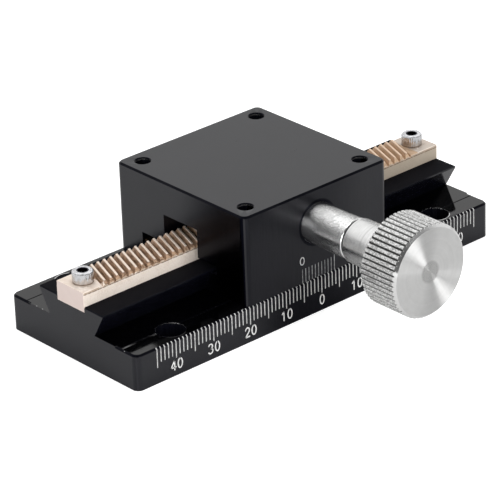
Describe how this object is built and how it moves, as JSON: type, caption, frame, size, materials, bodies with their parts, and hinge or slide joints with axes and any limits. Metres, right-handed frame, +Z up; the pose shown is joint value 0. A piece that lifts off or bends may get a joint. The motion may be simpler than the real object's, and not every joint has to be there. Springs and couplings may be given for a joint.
{
  "type": "linear stage",
  "caption": "Manual rack-and-pinion linear stage: a flat base with a dovetail rail, a square carriage with tapped holes on top, and a knurled knob on a side shaft.",
  "frame": {"origin": "centre of the base's flat underside", "axes": "+Z up from the underside to the carriage's top; X along the rail; -Y is the side with the scale, the vernier and the knob. The carriage is stored 0.4 mm on the -X side of the middle."},
  "size_m": [0.1, 0.0727, 0.0305],
  "materials": {
    "black_anodised": "black anodised, satin, with a fine machined grain",
    "rack_bronze": "bright milled bronze, paler on the sides than in the tooth gaps",
    "bearing_bronze": "oiled bearing bronze",
    "stainless": "turned stainless steel, fine rings",
    "bright_screw": "bright plated steel",
    "washer_steel": "ground steel",
    "black_screw": "blackened steel",
    "black_polymer": "black bearing plastic"
  },
  "bodies": {
    "base": {"base_rail": "black_anodised", "rack": "rack_bronze", "rack_screw_left": "bright_screw", "rack_screw_right": "bright_screw"},
    "carriage": {"carriage": "black_anodised", "gib_strip": "bearing_bronze", "gib_screw_1": "black_screw", "gib_screw_2": "black_screw", "gib_screw_3": "black_screw", "gib_screw_4": "black_screw", "bearing_sleeve": "stainless", "rear_bush": "bearing_bronze", "front_thrust_washer": "washer_steel", "rear_thrust_washer": "washer_steel", "sleeve_lock_screw": "black_screw"},
    "knob": {"pinion_shaft": "stainless", "knob": "stainless", "knob_set_screw": "black_screw", "friction_washer": "black_polymer"}
  },
  "joints": [
    {"name": "carriage_slide", "type": "slide", "parent": "base", "child": "carriage", "axis": [1, 0, 0], "range_m": [-0.0396, 0.0404]},
    {"name": "knob_spin", "type": "hinge", "parent": "carriage", "child": "knob", "pos_m": [-0.0004, -0.02, 0.02052], "axis": [0, 1, 0], "range_deg": [-612, 624]}
  ],
  "couplings": [
    {"joint": "knob_spin", "follows": "carriage_slide", "rad_per_m": 268.48}
  ]
}
